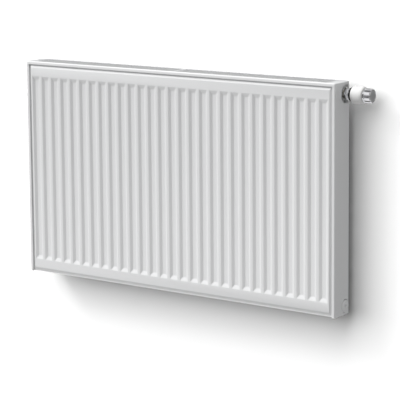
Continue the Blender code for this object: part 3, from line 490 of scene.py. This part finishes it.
class RadiatorSizes(PropertyGroup):
    press_radius: FloatProperty(
        name="Press Radius", description="Rounding of the pressed grooves and shoulders",
        default=0.0011, min=0.0002, max=0.004, subtype="DISTANCE", unit="LENGTH",
    )
    cover_radius: FloatProperty(
        name="Cover Radius", description="Rounding of the cover's top edges",
        default=0.0035, min=0.001, max=0.008, subtype="DISTANCE", unit="LENGTH",
    )
    side_radius: FloatProperty(
        name="Side Radius", description="Rounding of the side panels' upright edges",
        default=0.0030, min=0.001, max=0.0055, subtype="DISTANCE", unit="LENGTH",
    )
    side_lap: FloatProperty(
        name="Side Lap", description="How far the side panels' lips reach over the edges of the water panels",
        default=0.0022, min=0.0, max=0.004, subtype="DISTANCE", unit="LENGTH",
    )
    side_hem: FloatProperty(
        name="Side Hem", description="How far the side panels' lips fold back inwards",
        default=0.0032, min=0.0, max=0.0036, subtype="DISTANCE", unit="LENGTH",
    )
    slot_pitch: FloatProperty(
        name="Slot Pitch", description="Distance from one slot of the cover to the next",
        default=0.01111, min=0.008, max=0.03, subtype="DISTANCE", unit="LENGTH",
    )
    slot_width: FloatProperty(
        name="Slot Width", description="Width of each slot of the cover",
        default=0.0060, min=0.002, max=0.02, subtype="DISTANCE", unit="LENGTH",
    )
    slot_margin: FloatProperty(
        name="Slot Margin", description="Metal left in front of and behind each slot",
        default=0.0070, min=0.004, max=0.02, subtype="DISTANCE", unit="LENGTH",
    )
    slots_each_side: IntProperty(
        name="Slots Each Side", description="Slots either side of the cover's middle",
        default=42, min=1, max=60,
    )
    flutes: IntProperty(
        name="Flutes", description="Finger flutes round the valve wheel", default=12, min=4, max=24,
    )
    flute_depth: FloatProperty(
        name="Flute Depth", description="How deep each finger flute is",
        default=0.0021, min=0.0, max=0.0025, subtype="DISTANCE", unit="LENGTH",
    )


class RadiatorColours(PropertyGroup):
    lacquer: FloatVectorProperty(
        name="Lacquer", description="Colour of the stoved lacquer on all sheet metal",
        default=(0.85, 0.855, 0.86), size=3, min=0.0, max=1.0, subtype="COLOR",
    )
    plastic: FloatVectorProperty(
        name="Valve Body", description="Colour of the moulded valve body",
        default=(0.82, 0.82, 0.815), size=3, min=0.0, max=1.0, subtype="COLOR",
    )
    bright_metal: FloatVectorProperty(
        name="Bright Metal", description="Colour of the nut and the wheel",
        default=(0.78, 0.78, 0.8), size=3, min=0.0, max=1.0, subtype="COLOR",
    )
    floor: FloatVectorProperty(
        name="Floor", description="Colour of the floor", default=(0.9, 0.9, 0.9), size=3, min=0.0, max=1.0,
        subtype="COLOR",
    )
    wall: FloatVectorProperty(
        name="Wall", description="Colour of the wall behind the radiator", default=(0.3, 0.3, 0.3), size=3,
        min=0.0, max=1.0, subtype="COLOR",
    )


class RadiatorLights(PropertyGroup):
    key: FloatProperty(
        name="Key Light", description="Strength of the light from the front left", default=2.35, min=0.0,
    )
    overhead: FloatProperty(
        name="Overhead Light", description="Strength of the light from above", default=1.4, min=0.0,
    )
    wall: FloatProperty(
        name="Wall Light", description="Strength of the light on the wall alone", default=16.5, min=0.0,
    )
    surround: FloatProperty(
        name="Surround", description="Strength of the light from all round", default=0.345, min=0.0,
    )


# Operators


class RADIATOR_OT_panels(Operator):
    """Press the front and the rear face of the radiator with rounded grooves"""

    bl_idname = "radiator.panels"
    bl_label = "Pressed Faces"

    def execute(self, context):
        finish = finishes(context.scene.radiator_colours)
        sizes = context.scene.radiator_sizes
        for side in ("front", "rear"):
            node = f"{side}_panel_outer_sheet"
            face = merged_copy(node, f"{side}_face")
            soften(face, sizes.press_radius, low=8.0, high=60.0, segments=3)
            hand_over(face, body_of(node), "white_lacquer", finish["white_lacquer"], node, smooth=50.0)
        return {"FINISHED"}


class RADIATOR_OT_cover(Operator):
    """Fold the cover and punch its two rows of round-ended slots"""

    bl_idname = "radiator.cover"
    bl_label = "Cover Grille"

    def execute(self, context):
        finish = finishes(context.scene.radiator_colours)
        sizes = context.scene.radiator_sizes
        cover = block("slotted_cover", (COVER_LOW + COVER_HIGH) / 2, COVER_HIGH - COVER_LOW)
        open_mesh(cover, "FACE")
        pick(cover, "faces", lambda face: face.normal.z < -0.5)
        bpy.ops.mesh.delete(type="ONLY_FACE")
        bpy.ops.mesh.select_mode(type="EDGE")
        pick(cover, "edges", lambda edge: not edge.is_boundary)
        bpy.ops.mesh.bevel(offset=sizes.cover_radius, segments=6, affect="EDGES")
        close_mesh()
        thicken(cover, SHEET)
        middle = Vector((sizes.slot_pitch, (FRONT_Y + BACK_Y) / 2, TOP))
        depth = BACK_Y - FRONT_Y - 2 * sizes.slot_margin
        slot = block("slot_punch", middle, (sizes.slot_width, depth, 6 * SHEET))
        open_mesh(slot, "EDGE")
        pick(slot, "edges", lambda edge: abs((edge.verts[0].co - edge.verts[1].co).z) > SHEET)
        bpy.ops.mesh.bevel(offset=0.46 * sizes.slot_width, segments=4, affect="EDGES")
        close_mesh()
        row = slot.modifiers.new("row", "ARRAY")
        row.count = sizes.slots_each_side
        row.use_relative_offset = False
        row.use_constant_offset = True
        row.constant_offset_displace = (sizes.slot_pitch, 0.0, 0.0)
        apply_all(slot)
        other = slot.copy()
        other.data = slot.data.copy()
        context.scene.collection.objects.link(other)
        other.location.x = -(sizes.slots_each_side + 1) * sizes.slot_pitch
        cut(cover, slot)
        only(other)
        bpy.ops.object.transform_apply(location=True, rotation=True, scale=True)
        cut(cover, other)
        hand_over(cover, body_of("cover_grille"), "white_lacquer", finish["white_lacquer"], "cover_grille")
        return {"FINISHED"}


class RADIATOR_OT_sides(Operator):
    """Fold the two side panels and open them for the valve and the plug"""

    bl_idname = "radiator.sides"
    bl_label = "Side Panels"

    def execute(self, context):
        finish = finishes(context.scene.radiator_colours)
        sizes = context.scene.radiator_sizes
        opening = VALVE_HIGH.z - VALVE_Z + VALVE_GAP
        plug_opening = PLUG_HIGH.z - PLUG_Z + PLUG_GAP
        reach = BACK_Y - STRIP_BEHIND_NOTCH - VALVE_Y
        for side, sign in (("left", -1.0), ("right", 1.0)):
            node = f"side_panel_{side}"
            low, high = (Vector(corner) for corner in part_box(node))
            inner = (low.x if sign > 0 else high.x) - sign * sizes.side_lap
            low.x = min(low.x, inner)
            high.x = max(high.x, inner)
            panel = block(f"folded_side_{side}", (low + high) / 2, high - low)
            open_mesh(panel, "FACE")
            pick(panel, "faces", lambda face: abs(face.normal.z) > 0.5 or face.normal.x * sign < -0.5)
            bpy.ops.mesh.delete(type="ONLY_FACE")
            bpy.ops.mesh.select_mode(type="EDGE")
            pick(panel, "edges", lambda edge: not edge.is_boundary and bend_angle(edge) > 60.0)
            bpy.ops.mesh.bevel(offset=sizes.side_radius, segments=8, affect="EDGES")
            for rim, fold in ((low.y, sizes.side_hem), (high.y, -sizes.side_hem)):
                def at_rim(vert):
                    return abs(vert.co.x - inner) < 1e-5 and abs(vert.co.y - rim) < 1e-5
                bpy.ops.mesh.select_all(action="DESELECT")
                pick(panel, "edges", lambda edge: all(at_rim(vert) for vert in edge.verts))
                bpy.ops.mesh.extrude_edges_move(TRANSFORM_OT_translate={"value": (0.0, fold, 0.0)})
            close_mesh()
            thicken(panel, SHEET)
            for radius, height in ((opening, VALVE_Z), (plug_opening, PLUG_Z)):
                cut(panel, bar("round_punch", 72, radius, PUNCH_LENGTH, sign * END, height))
            notch = (sign * END, VALVE_Y + reach / 2, VALVE_Z)
            cut(panel, block("notch_punch", notch, (PUNCH_LENGTH, reach, 2 * opening)))
            hand_over(panel, body_of(node), "white_lacquer", finish["white_lacquer"], node)
        return {"FINISHED"}


class RADIATOR_OT_valve_nut(Operator):
    """Make the union nut with chamfered corners and a round collar"""

    bl_idname = "radiator.valve_nut"
    bl_label = "Union Nut"

    def execute(self, context):
        finish = finishes(context.scene.radiator_colours)
        low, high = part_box("union_nut")
        corner = (high.z - low.z) / 2
        flats = high.x - COLLAR_HEIGHT
        nut = bar("hexagon_nut", 6, corner, flats - low.x, (flats + low.x) / 2, VALVE_Z)
        open_mesh(nut, "EDGE")
        pick(nut, "edges", lambda edge: abs((edge.verts[0].co - edge.verts[1].co).x) > 0.001)
        bpy.ops.mesh.bevel(offset=NUT_EDGE, segments=3, affect="EDGES")
        bpy.ops.mesh.select_mode(type="FACE")
        pick(nut, "faces", lambda face: face.normal.x > 0.9)
        bpy.ops.mesh.extrude_region_move(TRANSFORM_OT_translate={"value": (NUT_CHAMFER, 0.0, 0.0)})
        bpy.ops.transform.resize(value=(1.0, 0.93, 0.93), center_override=(flats, VALVE_Y, VALVE_Z))
        close_mesh()
        soften(nut, 0.00025, low=40.0)
        bore = [
            (low.x - 0.001, NUT_BORE), (high.x - NUT_LIP, NUT_BORE), (high.x - NUT_LIP, NECK_BORE),
            (high.x + 0.001, NECK_BORE),
        ]
        cut(nut, lathe("nut_bore", bore, 48, VALVE_Z))
        hand_over(nut, body_of("union_nut"), "chrome", finish["chrome"])
        collar = lathe("nut_collar", [
            (flats + 0.0011, COLLAR_BORE), (flats + 0.0011, 0.0146), (flats + 0.0016, 0.0149),
            (high.x - 0.0006, 0.0147), (high.x, 0.0143), (high.x, NUT_LIP_BORE),
            (high.x - NUT_LIP, NUT_LIP_BORE), (high.x - NUT_LIP, COLLAR_BORE),
        ], 72, VALVE_Z, closed=True)
        hand_over(collar, body_of("union_nut"), "chrome", finish["chrome"])
        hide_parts("union_nut")
        return {"FINISHED"}


class RADIATOR_OT_valve_body(Operator):
    """Turn the thin black ring, partly a real ring and partly painted shade of the gap between nut and body,
    and the white body of the valve head, with its index marks
    """

    bl_idname = "radiator.valve_body"
    bl_label = "Valve Body"

    def execute(self, context):
        finish = finishes(context.scene.radiator_colours)
        low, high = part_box("shadow_ring")
        # The black ring is partly a real ring and partly painted shade: it also stands for the dark gap
        # between the nut and the body
        radius = (high.z - low.z) / 2 + RING_PROUD_FOR_GAP_SHADE
        ring = lathe("black_ring_with_painted_gap_shade", [
            (low.x, NECK_BORE), (low.x, radius - 0.0006), (low.x + 0.0003, radius - 0.0002),
            (low.x + 0.0008, radius), (high.x - 0.0003, radius), (high.x, radius - 0.0003),
            (high.x, NECK_BORE),
        ], 96, VALVE_Z, closed=True)
        hand_over(ring, body_of("shadow_ring"), "black_plastic", finish["black_plastic"], "shadow_ring")
        radius = VALVE_HIGH.z - VALVE_Z
        foot = high.x + 0.0003
        top = VALVE_HIGH.x
        floor = VALVE_LOW.x + BODY_FLOOR
        spigot = VALVE_LOW.x + BODY_SPIGOT_LENGTH
        shell = lathe("white_body", [
            (VALVE_LOW.x, BODY_BORE), (VALVE_LOW.x, BODY_SPIGOT), (spigot, BODY_SPIGOT), (spigot, BODY_NECK),
            (foot, BODY_NECK), *((foot + along, size) for along, size in BODY_FLARE), (foot + 0.0052, radius),
            *self.seam(foot + 0.0070, radius), *self.seam(top - 0.0076, radius),
            *((top - back, radius - drop) for back, drop in BODY_NOSE),
            (top, 0.0177), (top - 0.0006, BODY_RECESS), (floor, BODY_RECESS), (floor, BODY_BORE),
        ], 96, VALVE_Z, closed=True)
        hand_over(shell, body_of("head_body"), "white_plastic", finish["white_plastic"], "head_body")
        for name, x in (("index_mark_outer", top - 0.0095), ("index_mark_inner", foot + 0.0105)):
            mark = block(name, (x, VALVE_Y, VALVE_Z + radius - MARK_SIZE[2] / 2), MARK_SIZE)
            soften(mark, MARK_EDGE)
            hand_over(mark, "radiator", "black_plastic", finish["black_plastic"])
        return {"FINISHED"}

    def seam(self, x, radius):
        """A thin groove round the body that starts at a place along X."""
        floor = radius - 0.0003
        return (x, radius), (x + 0.0002, floor), (x + 0.0008, floor), (x + 0.0010, radius)


class RADIATOR_OT_valve_wheel(Operator):
    """Turn the bright wheel, press its finger flutes and close it with the satin cap"""

    bl_idname = "radiator.valve_wheel"
    bl_label = "Valve Wheel"

    def execute(self, context):
        finish = finishes(context.scene.radiator_colours)
        sizes = context.scene.radiator_sizes
        low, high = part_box("handwheel")
        radius = (high.z - low.z) / 2
        foot = VALVE_HIGH.x + 0.0005
        segments = FLUTE_STEPS * sizes.flutes
        wheel = lathe("fluted_wheel", [
            (low.x, WHEEL_BORE), (low.x, WHEEL_SPIGOT), (foot, WHEEL_SPIGOT), (foot, radius - 0.0006),
            (foot + 0.0003, radius - 0.0001), (foot + 0.0008, radius), (foot + 0.0022, radius),
            (foot + 0.0027, radius - 0.0005), (foot + 0.0032, radius - 0.0005),
            (foot + 0.0037, radius - 0.0001), (foot + 0.0045, radius), (high.x - 0.0022, radius),
            (high.x - 0.0010, radius - 0.0003), (high.x - 0.0003, radius - 0.0009), (high.x, radius - 0.0014),
            (high.x, WHEEL_BORE),
        ], segments, VALVE_Z, closed=True)
        open_mesh(wheel, "VERT")
        for step, share in ((3, 0.7), (4, 1.0)):
            def in_flute(vert):
                across = Vector((0.0, vert.co.y - VALVE_Y, vert.co.z - VALVE_Z))
                turn = math.atan2(across.z, across.y) / (2 * math.pi) * segments
                outside = across.length > WHEEL_SPIGOT - 0.0004 and vert.co.x > foot + FLUTES_FROM
                return outside and round(turn) % FLUTE_STEPS in (step, FLUTE_STEPS - step)
            bpy.ops.mesh.select_all(action="DESELECT")
            pick(wheel, "verts", in_flute)
            ratio = 1.0 - share * sizes.flute_depth / radius
            bpy.ops.transform.resize(value=(1.0, ratio, ratio), center_override=(high.x, VALVE_Y, VALVE_Z))
        close_mesh()
        hand_over(wheel, body_of("handwheel"), "chrome", finish["chrome"], "handwheel", smooth=45.0)
        low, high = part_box("end_cap")
        radius = (high.z - low.z) / 2
        seat = high.x - CAP_HEIGHT
        cap = lathe("satin_cap", [
            (low.x, CAP_SPIGOT), (seat, CAP_SPIGOT), (seat, radius - 0.0001), (seat + 0.0002, radius),
            (high.x - 0.0005, radius), (high.x - 0.0002, radius - 0.0002), (high.x, radius - 0.0008),
            (high.x, radius - 0.0030), (high.x - 0.0003, radius - 0.0033), (high.x - 0.0003, radius - 0.0039),
            (high.x, radius - 0.0042),
        ], 96, VALVE_Z)
        hand_over(cap, body_of("end_cap"), "satin_metal", finish["satin_metal"], "end_cap")
        return {"FINISHED"}


class RADIATOR_OT_plugs(Operator):
    """Turn the two round caps that close the lower tees, each with a six-sided key socket"""

    bl_idname = "radiator.plugs"
    bl_label = "Blank Plugs"

    def execute(self, context):
        finish = finishes(context.scene.radiator_colours)
        radius = PLUG_HIGH.z - PLUG_Z
        length = PLUG_HIGH.x - PLUG_LOW.x
        rows = [
            (length, PLUG_SHANK - 0.0007), (length - 0.0007, PLUG_SHANK), (PLUG_RIM, PLUG_SHANK),
            (PLUG_RIM, radius - 0.0003), (PLUG_RIM - 0.0003, radius), (0.0007, radius),
            (0.0002, radius - 0.0003), (0.0, radius - 0.0010), (0.0, PLUG_FACE),
        ]
        for side, sign in (("left", -1.0), ("right", 1.0)):
            node = f"blank_plug_{side}"
            rim = sign * PLUG_HIGH.x
            plug = lathe(f"round_{node}", [(rim - sign * depth, size) for depth, size in rows], 72, PLUG_Z)
            cut(plug, bar("key_punch", 6, KEY_RADIUS, KEY_PUNCH, rim, PLUG_Z))
            hand_over(plug, body_of(node), "white_lacquer", finish["white_lacquer"], node)
        return {"FINISHED"}


class RADIATOR_OT_fittings(Operator):
    """Round the edges of the tees, vent, nipples, clips, lugs and brackets"""

    bl_idname = "radiator.fittings"
    bl_label = "Fittings"

    def execute(self, context):
        finish = finishes(context.scene.radiator_colours)
        slots = {entry["node"]: entry["material_slot"] for entry in frame["record"]["subparts"]}
        kinds = {
            "tee_": 0.0004, "vent_plug": 0.0003, "vent_screw": 0.0002, "nipple": 0.0003, "clip": 0.0003,
            "hanging_lug": 0.0005, "hook_liner": 0.0002, "safety_latch": 0.0003, "wall_bracket": 0.0004,
        }
        for node, slot in sorted(slots.items()):
            width = next((size for kind, size in kinds.items() if kind in node), None)
            if width is None:
                continue
            piece = merged_copy(node, f"rounded_{node}")
            soften(piece, width, low=50.0)
            hand_over(piece, body_of(node), slot, finish[slot], node)
        return {"FINISHED"}


class RADIATOR_OT_carried(Operator):
    """Give each remaining solid of the frame its finish"""

    bl_idname = "radiator.carried"
    bl_label = "Carried Solids"

    def execute(self, context):
        finish = finishes(context.scene.radiator_colours)
        for entry in frame["record"]["subparts"]:
            obj = frame["nodes"][entry["node"]]
            material = finish[entry["material_slot"]]
            if not obj.material_slots:
                obj.data.materials.append(material)
            for slot in obj.material_slots:
                slot.material = material
        return {"FINISHED"}


class RADIATOR_OT_stage(Operator):
    """Lay the floor, raise the wall, set the lights and place the camera"""

    bl_idname = "radiator.stage"
    bl_label = "Stage"

    def execute(self, context):
        scene = context.scene
        lights = scene.radiator_lights
        self.lay_floor(scene.radiator_colours)
        self.raise_wall(scene.radiator_colours, lights.wall)
        self.add_sun("key_light", Vector((-0.56, -0.48, 0.68)), lights.key, 16.0)
        self.add_sun("overhead_light", Vector((-0.05, -0.12, 1.0)), lights.overhead, 40.0)
        self.surround(scene, lights.surround)
        self.place_camera(scene)
        scene.view_settings.view_transform = "Standard"
        return {"FINISHED"}

    def lay_floor(self, colours):
        """A floor that looks brighter to the eye than the light it sends back."""
        bpy.ops.object.select_all(action="DESELECT")
        bpy.ops.mesh.primitive_plane_add(size=60.0, location=(0.0, 0.0, BOX_AT_LOAD[0].z - 0.60))
        floor = started("floor")
        material = bpy.data.materials.new("Pale Floor")
        material.use_nodes = True
        tree = material.node_tree
        shader = tree.nodes["Principled BSDF"]
        shader.inputs["Roughness"].default_value = 0.9
        shader.inputs["Specular IOR Level"].default_value = 0.1
        path = node_of(tree, "ShaderNodeLightPath", -700, 100)
        tint = node_of(tree, "ShaderNodeMix", -300, 100, data_type="RGBA")
        tint.inputs[6].default_value = (0.36, 0.36, 0.36, 1.0)
        tint.inputs[7].default_value = (*colours.floor, 1.0)
        tree.links.new(path.outputs["Is Camera Ray"], tint.inputs["Factor"])
        tree.links.new(tint.outputs[2], shader.inputs["Base Color"])
        floor.data.materials.append(material)
        floor.visible_glossy = False

    def raise_wall(self, colours, strength):
        """The wall that the brackets stand on. It shows from the front only and has a light of its own."""
        bpy.ops.object.select_all(action="DESELECT")
        bpy.ops.mesh.primitive_plane_add(size=12.0, location=(0.0, SHEET, 0.0), rotation=UPRIGHT)
        wall = started("wall")
        material = bpy.data.materials.new("Pale Wall")
        material.use_nodes = True
        tree = material.node_tree
        shader = tree.nodes["Principled BSDF"]
        shader.inputs["Base Color"].default_value = (*colours.wall, 1.0)
        shader.inputs["Roughness"].default_value = 0.95
        shader.inputs["Specular IOR Level"].default_value = 0.0
        side = node_of(tree, "ShaderNodeNewGeometry", -300, 300)
        clear = node_of(tree, "ShaderNodeBsdfTransparent", -300, 100)
        choice = node_of(tree, "ShaderNodeMixShader", 300, 200)
        tree.links.new(side.outputs["Backfacing"], choice.inputs["Fac"])
        tree.links.new(shader.outputs["BSDF"], choice.inputs[1])
        tree.links.new(clear.outputs["BSDF"], choice.inputs[2])
        tree.links.new(choice.outputs["Shader"], tree.nodes["Material Output"].inputs["Surface"])
        wall.data.materials.append(material)
        wall.visible_diffuse = False
        wall.visible_glossy = False
        wall.visible_shadow = False
        lit = bpy.data.collections.new("wall_only")
        lit.objects.link(wall)
        wash = self.add_sun("wall_light", Vector((-0.42, -0.60, 0.68)), strength, 94.0)
        wash.light_linking.receiver_collection = lit

    def add_sun(self, name, towards, strength, softness):
        bpy.ops.object.select_all(action="DESELECT")
        bpy.ops.object.light_add(type="SUN", rotation=towards.to_track_quat("Z", "Y").to_euler())
        sun = bpy.context.object
        sun.name = name
        sun.data.energy = strength
        sun.data.angle = math.radians(softness)
        sun.visible_glossy = False
        return sun

    def surround(self, scene, strength):
        """Even light, with dark and light bands that only reflections pick up."""
        world = bpy.data.worlds.new("Soft Studio")
        scene.world = world
        world.use_nodes = True
        tree = world.node_tree
        place = node_of(tree, "ShaderNodeTexCoord", -1100, 0)
        split = node_of(tree, "ShaderNodeSeparateXYZ", -900, 0)
        height = node_of(tree, "ShaderNodeMapRange", -800, -160)
        height.inputs["From Min"].default_value = -1.0
        bands = node_of(tree, "ShaderNodeValToRGB", -620, 0)
        ramp = bands.color_ramp
        ramp.elements[0].position = 0.0
        ramp.elements[1].position = 1.0
        levels = (
            (0.22, 0.95), (0.27, 0.03), (0.35, 0.03), (0.38, 0.25), (0.50, 0.25), (0.55, 0.03), (0.67, 0.03),
            (0.72, 1.0), (0.87, 1.0), (0.93, 0.5),
        )
        for position, level in levels:
            ramp.elements.new(position).color = (level, level, level, 1.0)
        ramp.elements[0].color = (0.95, 0.95, 0.95, 1.0)
        ramp.elements[-1].color = (0.5, 0.5, 0.5, 1.0)
        path = node_of(tree, "ShaderNodeLightPath", -700, 300)
        reflected = node_of(tree, "ShaderNodeMix", -350, 0, data_type="RGBA")
        reflected.inputs[6].default_value = (strength, strength, strength, 1.0)
        seen = node_of(tree, "ShaderNodeMix", -100, 0, data_type="RGBA")
        seen.inputs[7].default_value = (1.0, 1.0, 1.0, 1.0)
        tree.links.new(place.outputs["Generated"], split.inputs["Vector"])
        tree.links.new(split.outputs["Z"], height.inputs["Value"])
        tree.links.new(height.outputs["Result"], bands.inputs["Fac"])
        tree.links.new(path.outputs["Is Glossy Ray"], reflected.inputs["Factor"])
        tree.links.new(bands.outputs["Color"], reflected.inputs[7])
        tree.links.new(path.outputs["Is Camera Ray"], seen.inputs["Factor"])
        tree.links.new(reflected.outputs[2], seen.inputs[6])
        tree.links.new(seen.outputs[2], tree.nodes["Background"].inputs["Color"])

    def place_camera(self, scene):
        yaw, pitch, roll = (math.radians(angle) for angle in (34.936, 8.289, -0.503))
        level = Vector((math.cos(yaw), math.sin(yaw), 0.0))
        ahead = Vector((-math.sin(yaw), math.cos(yaw), 0.0))
        forward = ahead * math.cos(pitch) - Vector((0.0, 0.0, math.sin(pitch)))
        upward = level.cross(forward)
        right = level * math.cos(roll) + upward * math.sin(roll)
        above = upward * math.cos(roll) - level * math.sin(roll)
        bpy.ops.object.select_all(action="DESELECT")
        bpy.ops.object.camera_add()
        camera = bpy.context.object
        camera.name = "camera"
        turn = Matrix((right, above, -forward)).transposed().to_4x4()
        camera.matrix_world = Matrix.Translation((2.7596, -3.9419, 0.8588)) @ turn
        camera.data.lens = 162.1
        camera.data.sensor_width = 36.0
        camera.data.shift_x = 0.0103
        camera.data.shift_y = -0.2
        camera.data.clip_end = 100.0
        scene.camera = camera


class RADIATOR_PT_panel(Panel):
    bl_label = "Radiator"
    bl_idname = "RADIATOR_PT_panel"
    bl_space_type = "VIEW_3D"
    bl_region_type = "UI"
    bl_category = "Radiator"

    def draw(self, context):
        scene = context.scene
        for group in (scene.radiator_sizes, scene.radiator_colours, scene.radiator_lights):
            box = self.layout.box()
            for name in group.bl_rna.properties.keys():
                if name not in {"rna_type", "name"}:
                    box.prop(group, name)
        for operator in OPERATORS:
            self.layout.operator(operator.bl_idname)


OPERATORS = (
    RADIATOR_OT_panels,
    RADIATOR_OT_cover,
    RADIATOR_OT_sides,
    RADIATOR_OT_valve_nut,
    RADIATOR_OT_valve_body,
    RADIATOR_OT_valve_wheel,
    RADIATOR_OT_plugs,
    RADIATOR_OT_fittings,
    RADIATOR_OT_carried,
    RADIATOR_OT_stage,
)
CLASSES = (RadiatorSizes, RadiatorColours, RadiatorLights, *OPERATORS, RADIATOR_PT_panel)


def register():
    for item in CLASSES:
        bpy.utils.register_class(item)
    bpy.types.Scene.radiator_sizes = PointerProperty(type=RadiatorSizes)
    bpy.types.Scene.radiator_colours = PointerProperty(type=RadiatorColours)
    bpy.types.Scene.radiator_lights = PointerProperty(type=RadiatorLights)


def unregister():
    del bpy.types.Scene.radiator_lights
    del bpy.types.Scene.radiator_colours
    del bpy.types.Scene.radiator_sizes
    for item in reversed(CLASSES):
        bpy.utils.unregister_class(item)


def main():
    register()
    bpy.ops.radiator.panels()
    bpy.ops.radiator.cover()
    bpy.ops.radiator.sides()
    bpy.ops.radiator.valve_nut()
    bpy.ops.radiator.valve_body()
    bpy.ops.radiator.valve_wheel()
    bpy.ops.radiator.plugs()
    bpy.ops.radiator.fittings()
    bpy.ops.radiator.carried()
    bpy.ops.radiator.stage()


if __name__ == "__main__":
    main()
